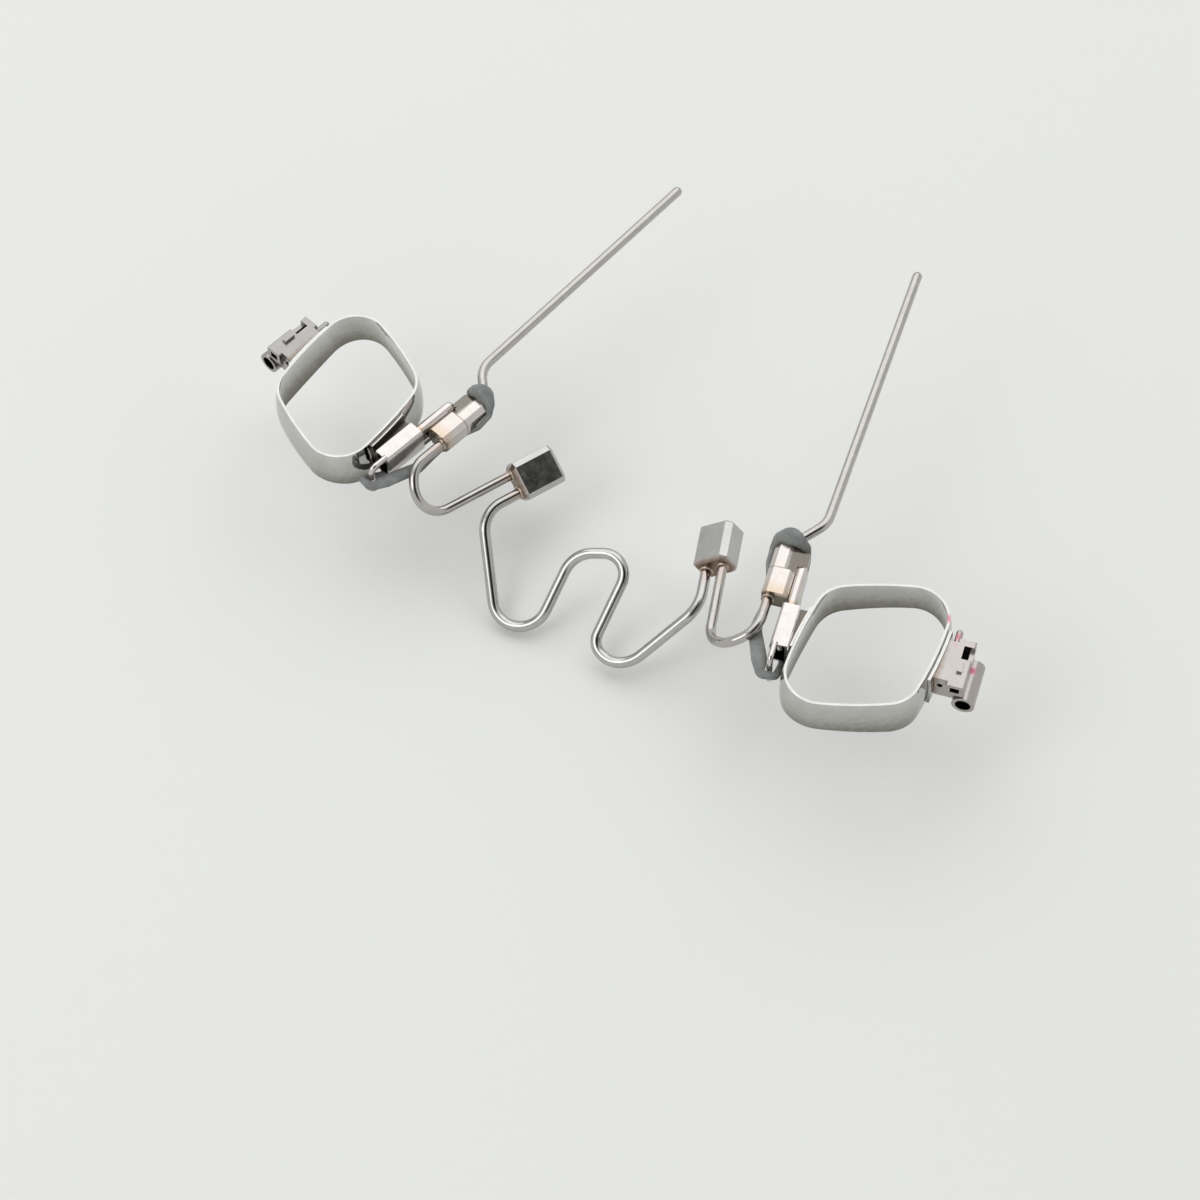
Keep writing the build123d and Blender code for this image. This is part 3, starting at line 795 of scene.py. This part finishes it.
def elastic_tree():
    """A stretched ring whose bulk, width and flatness change along its route."""
    tree, given, made = new_tree("elastic_round_route", ROUTE_SIZES + [("Wrinkle", FLOAT, 0.03 * MM)])
    curve = rounded_route(tree, given)
    centred = store(tree, curve, "centre", position(tree), "FLOAT_VECTOR")
    bulk = {"Value": named(tree, "bulk"), "Iterations": 16}
    even_bulk = add(tree, "GeometryNodeBlurAttribute", bulk, data_type="FLOAT").outputs["Value"]
    ring = skin(tree, given, centred, even_bulk)
    centre = named(tree, "centre", "FLOAT_VECTOR")
    offset = vector_maths(tree, "SUBTRACT", position(tree), centre)
    wide = named(tree, "wide")
    section = {"X": wide, "Y": wide, "Z": named(tree, "flat")}
    shape = add(tree, "ShaderNodeCombineXYZ", section).outputs["Vector"]
    spread = vector_maths(tree, "MULTIPLY", offset, shape)
    moved = {"Geometry": ring, "Position": vector_maths(tree, "ADD", centre, spread)}
    placed = add(tree, "GeometryNodeSetPosition", moved).outputs["Geometry"]
    wrinkled = roughened(tree, placed, WRINKLE_FINENESS, given["Wrinkle"])
    return finished(tree, given, made, wrinkled)


def bead_tree():
    """A low braze bead round each wire where it enters its socket, as shares of the wire's radius."""
    tree, given, made = new_tree("bead_round_wire", [("Bead", FLOAT, 0.3), ("Uneven", FLOAT, 0.06 * MM)])
    rim = circle(tree, BEAD_SIDES, 1.0)
    section = circle(tree, BEAD_SECTION_SIDES, given["Bead"])
    sweep = {"Curve": rim, "Profile Curve": section}
    ring = add(tree, "GeometryNodeCurveToMesh", sweep).outputs["Mesh"]
    aim = {"Vector": named(tree, "wire_axis", "FLOAT_VECTOR")}
    aimed = add(tree, "FunctionNodeAlignRotationToVector", aim, axis="Z").outputs["Rotation"]
    seats = {"Points": given["Route"], "Instance": ring, "Rotation": aimed}
    seats |= {"Scale": named(tree, "wire_radius")}
    beads = add(tree, "GeometryNodeInstanceOnPoints", seats).outputs["Instances"]
    uneven = roughened(tree, realized(tree, beads), BEAD_FINENESS, given["Uneven"])
    return finished(tree, given, made, uneven)


WIRE_TREE = wire_tree()
ELASTIC_TREE = elastic_tree()
BEAD_TREE = bead_tree()


def grown(name, mesh, tree, values):
    """Runs a geometry tree on a mesh and returns its result as a plain object."""
    seed = bpy.data.objects.new(f"{name}_seed", mesh)
    SCENE.collection.objects.link(seed)
    modifier = seed.modifiers.new("grow", "NODES")
    modifier.node_group = tree
    inputs = {item.name: item.identifier for item in tree.interface.items_tree if item.in_out == "INPUT"}
    for label, value in values.items():
        modifier[inputs[label]] = value
    evaluated = seed.evaluated_get(bpy.context.evaluated_depsgraph_get())
    result = bpy.data.meshes.new_from_object(evaluated)
    seed.modifiers.remove(modifier)
    bpy.data.objects.remove(seed)
    result.name = name
    piece = bpy.data.objects.new(name, result)
    SCENE.collection.objects.link(piece)
    return piece


def route_mesh(name, points, closed=False, **values):
    """The corners of a route as a line of edges, with named values at each."""
    mesh = bpy.data.meshes.new(f"{name}_route")
    edges = [(i, i + 1) for i in range(len(points) - 1)]
    if closed:
        edges.append((len(points) - 1, 0))
    mesh.from_pydata([p * MM for p in points], edges, [])
    for label, data in values.items():
        mesh.attributes.new(label, "FLOAT", "POINT").data.foreach_set("value", data)
    return mesh


def drawn_wire(name, route, diameter, sockets, finish):
    points, radii = route
    mesh = route_mesh(name, points, bend_radius=[r * MM for r in radii])
    values = {"Radius": diameter / 2 * MM, "Start socket": sockets[0] * MM, "End socket": sockets[1] * MM}
    return grown(name, mesh, WIRE_TREE, values | {"Finish": finish})


NO_SOCKET = -1000.0


def make_wires():
    for side_name, side in SIDES.items():
        wires = [
            ("arm", arm_route(side), (SOCKET_DEPTH, NO_SOCKET)),
            ("loop_wire", loop_route(side), (SOCKET_DEPTH, CRIMP_DEPTH)),
        ]
        for piece, route, sockets in wires:
            node = f"{side_name}_{piece}"
            wire = drawn_wire(f"{node}_drawn", route, WIRE, sockets, WIRE_STEEL)
            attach(wire, f"{side_name}_half")
            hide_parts(node)


def make_spring():
    sockets = (CRIMP_DEPTH, CRIMP_DEPTH)
    spring = drawn_wire("centre_spring_drawn", spring_route(), SPRING_WIRE, sockets, SPRING_ALLOY)
    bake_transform(spring)
    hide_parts("centre_spring")


def make_beads():
    block_front, block_rear, crimp_rear = BLOCK_LENGTH / 2, -BLOCK_LENGTH / 2, -CRIMP_LENGTH / 2
    entries = [
        (block_frame, (ARM_OUT, block_front, 0), WIRE),
        (block_frame, (-LOOP_IN, block_rear, 0), WIRE),
        (crimp_frame, (CRIMP_PITCH / 2, crimp_rear, 0), WIRE),
        (crimp_frame, (-CRIMP_PITCH / 2, crimp_rear, 0), SPRING_WIRE),
    ]
    for side_name, side in SIDES.items():
        name = f"{side_name}_braze_beads"
        points, axes = [], []
        for frame_of, mouth, wire in entries:
            at, ahead = on_side(side, frame_of, [mouth, Vector(mouth) + Vector((0, 1, 0))])
            points.append(at)
            axes.extend(ahead - at)
        mesh = route_mesh(name, points, wire_radius=[wire / 2 * MM for frame_of, mouth, wire in entries])
        mesh.attributes.new("wire_axis", "FLOAT_VECTOR", "POINT").data.foreach_set("vector", axes)
        beads = grown(name, mesh, BEAD_TREE, {"Finish": BRAZE})
        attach(beads, f"{side_name}_half")


# The rings: how far each corner is eased from its seat, in millimetres, then the ring's bulk,
# width and flatness there as shares of its plain section

RING_STEP = 0.1
STRETCHED = 0.7
STRAND_SHIFT = 0.35
CLEAT_LIFT = 0.9
BUNCHED = 1.15 * ELASTIC_BUNCH / ELASTIC_THICKNESS
SEATED = (0, 0, 0)
RING_FORM = {
    "hood_start": ((0, -0.6, 0.1), 0.75, 1.0, 1.0),
    "hood_inner": ((0.45, -0.1, -0.1), 1.35, 1.0, 1.0),
    "hood_top": ((0, 0.2, 0.12), BUNCHED, 1.0, 1.0),
    "hood_outer": ((-0.75, -0.08, 0.05), 1.75, 1.0, 1.0),
    "hood_end": ((-0.1, -0.1, 0), 1.15, 1.0, 1.0),
    "under_block": (SEATED, 1.0, 1.0, 1.0),
    "under_sheath": (SEATED, 1.0, 1.0, 1.0),
    "cleat_outer": (SEATED, 1.0, 1.0, 1.0),
    "cleat_inner": (SEATED, 1.0, 1.3, 0.9),
    "strap_rear": ((-0.35, 0, 0), 1.0, 2.1, 0.8),
    "strap_front": ((0, 0.2, 0), 1.0, 1.8, 0.8),
    "strand_rear": (SEATED, STRETCHED, 1.0, 1.0),
    "strand_turn": ((0, -0.7, 0), STRETCHED, 1.0, 1.0),
    "strand_front": ((0, 0.9, -0.3), STRETCHED, 1.0, 1.0),
}


def ring_seats(side):
    """Where the ring's corners rest on what they pass, in the sheath's frame."""
    block = block_place()
    stand = ELASTIC_THICKNESS / 2 + ELASTIC_CLEAR
    thin = STRETCHED * ELASTIC_THICKNESS / 2 + ELASTIC_CLEAR
    inner = block.x - BLOCK_WIDTH / 2 - stand
    outer = block.x + BLOCK_WIDTH / 2 + stand
    beside_block = block.x - BLOCK_WIDTH / 2 - thin
    behind_loop = block.x - LOOP_IN - side["sign"] * STRAND_SHIFT
    front = block.y + BLOCK_LENGTH / 2 + stand
    rear = block.y - BLOCK_LENGTH / 2
    beside_arm = block.z + WIRE / 2
    lip = beside_arm + stand + (ELASTIC_BUNCH - ELASTIC_THICKNESS) / 2
    under_block = block.z - BLOCK_HEIGHT / 2 - stand
    close_under = block.z - BLOCK_HEIGHT / 2 - thin
    under_loop = block.z - WIRE / 2 - 2 * stand
    under_sheath = -(INSERT_WIRE + INSERT_GAP / 2 + SLIDING_FIT) - 2 * SHEATH_WALL - stand
    at_cleat = under_loop + CLEAT_LIFT
    wrap = CLEAT_WIRE / 2 + stand
    cleat_out, cleat_in = wrap - CLEAT_IN, -wrap - CLEAT_IN
    cleat_y = -SHEATH_LENGTH / 2 - CLEAT_BACK
    return {
        "hood_start": (beside_block, front, block.z),
        "hood_inner": (inner, front, lip),
        "hood_top": (block.x, front, lip),
        "hood_outer": (outer, front, lip),
        "hood_end": (outer, front, beside_arm),
        "under_block": (outer, front, under_block),
        "under_sheath": (cleat_out, -SHEATH_LENGTH / 2, under_sheath),
        "cleat_outer": (cleat_out, cleat_y - wrap, at_cleat),
        "cleat_inner": (cleat_in, cleat_y - wrap, at_cleat),
        "strap_rear": (cleat_in, cleat_y + wrap, at_cleat),
        "strap_front": (behind_loop, 0, under_loop),
        "strand_rear": (behind_loop, rear, close_under),
        "strand_turn": (behind_loop, block.y, close_under),
        "strand_front": (beside_block, block.y, block.z),
    }


def make_elastics():
    held_at_cleat = (0, -SHEATH_LENGTH / 2, 0)
    held_at_block = (0, SHEATH_LENGTH / 2 + BLOCK_CLEAR, 0)
    eases, bulk, wide, flat = zip(*RING_FORM.values())
    bends = [ELASTIC_BEND_RADIUS * max(1.0, share) ** 2 * MM for share in bulk]
    for side_name, side in SIDES.items():
        name = f"{side_name}_elastic_ring"
        seats = ring_seats(side)
        places = [tuple(map(sum, zip(seats[corner], ease))) for corner, ease in zip(RING_FORM, eases)]
        corners = on_side(side, sheath_frame, places)
        mesh = route_mesh(name, corners, closed=True, bend_radius=bends, bulk=bulk, wide=wide, flat=flat)
        values = {"Radius": ELASTIC_THICKNESS / 2 * MM, "Step": RING_STEP * MM, "Finish": ELASTOMER}
        ring = grown(name, mesh, ELASTIC_TREE, values)
        start, end = (p * MM for p in on_side(side, sheath_frame, [held_at_cleat, held_at_block]))
        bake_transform(ring)
        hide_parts(f"{side_name}_elastic")


# Studio: camera in millimetres and degrees, lamps in metres and watts

CAMERA_AZIMUTH = 32.32
CAMERA_ELEVATION = 56.84
CAMERA_ROLL = -2.25
CAMERA_SLIDE = (-0.3, 6.69)
CAMERA_DISTANCE = 240.27
CAMERA_LENS = 91.595
CAMERA_NEAR = 5.0
SENSOR = 36.0
FLOOR_GAP = 0.3 * MM
FLOOR_SIZE = 4.0
FLOOR_TONE = (0.82, 0.825, 0.81, 1.0)
FLOOR_ROUGH = 0.8
FLOOR_SHEEN = 0.2
DARK_AZIMUTH = 63.0
DARK_ELEVATION = 53.0
ROOM_TONES = ((0.84, (0.78, 0.79, 0.78)), (0.95, (0.045, 0.045, 0.042)))
LAMPS = {
    "top_light": {"place": (-0.15, 0.25, 0.45), "size": (0.7, 0.6), "power": 1.05},
    "window_light": {"place": (-0.197, -0.278, 0.366), "size": (0.26, 0.26), "power": 0.36},
}


def view_axes(azimuth, elevation):
    """Right, up and back of a camera that looks at the origin."""
    a, e = math.radians(azimuth), math.radians(elevation)
    back = Vector((math.sin(a) * math.cos(e), -math.cos(a) * math.cos(e), math.sin(e)))
    right = Vector((math.cos(a), math.sin(a), 0))
    return right, back.cross(right), back


def make_camera():
    upright = Matrix(view_axes(CAMERA_AZIMUTH, CAMERA_ELEVATION))
    rolled = Matrix.Rotation(math.radians(-CAMERA_ROLL), 3, "Z") @ upright
    offset = Vector((*CAMERA_SLIDE, -CAMERA_DISTANCE)) * MM
    data = bpy.data.cameras.new("photo_view")
    data.lens = CAMERA_LENS
    data.sensor_width = SENSOR
    data.clip_start = CAMERA_NEAR * MM
    camera = bpy.data.objects.new("photo_view", data)
    SCENE.collection.objects.link(camera)
    turned = rolled.transposed()
    camera.matrix_world = Matrix.Translation(-(turned @ offset)) @ turned.to_4x4()
    SCENE.camera = camera


def make_floor():
    level = cad_box[0][2] - FLOOR_GAP
    half = FLOOR_SIZE / 2
    corners = [(-half, -half, level), (half, -half, level), (half, half, level), (-half, half, level)]
    mesh = bpy.data.meshes.new("floor")
    mesh.from_pydata(corners, [], [(0, 1, 2, 3)])
    floor = bpy.data.objects.new("floor", mesh)
    SCENE.collection.objects.link(floor)
    material = bpy.data.materials.new("pale_floor")
    material.use_nodes = True
    shader = material.node_tree.nodes["Principled BSDF"]
    shader.inputs["Base Color"].default_value = FLOOR_TONE
    shader.inputs["Roughness"].default_value = FLOOR_ROUGH
    shader.inputs["Specular IOR Level"].default_value = FLOOR_SHEEN
    mesh.materials.append(material)


def soft_box(name, place, size, power):
    """A rectangular lamp that faces the origin."""
    data = bpy.data.lights.new(name, "AREA")
    data.shape = "RECTANGLE"
    data.size, data.size_y = size
    data.energy = power
    lamp = bpy.data.objects.new(name, data)
    lamp.location = place
    lamp.rotation_euler = (-Vector(place)).to_track_quat("-Z", "Y").to_euler()
    SCENE.collection.objects.link(lamp)


def make_world():
    """A pale room with one dark side, for the metal to mirror."""
    world = bpy.data.worlds.new("studio")
    SCENE.world = world
    world.use_nodes = True
    tree = world.node_tree
    sky = tree.nodes["Background"]
    direction = add(tree, "ShaderNodeTexCoord").outputs["Generated"]
    dark_side = view_axes(DARK_AZIMUTH, DARK_ELEVATION)[2]
    facing = vector_maths(tree, "DOT_PRODUCT", direction, dark_side, result="Value")
    link(tree, ramp(tree, facing, ROOM_TONES), sky.inputs["Color"])
    sky.inputs["Strength"].default_value = 1.0


finish_nodes()
make_wires()
make_spring()
make_beads()
make_elastics()
make_camera()
make_floor()
make_world()
for lamp_name, lamp_values in LAMPS.items():
    soft_box(lamp_name, **lamp_values)
SCENE.view_settings.view_transform = "Standard"
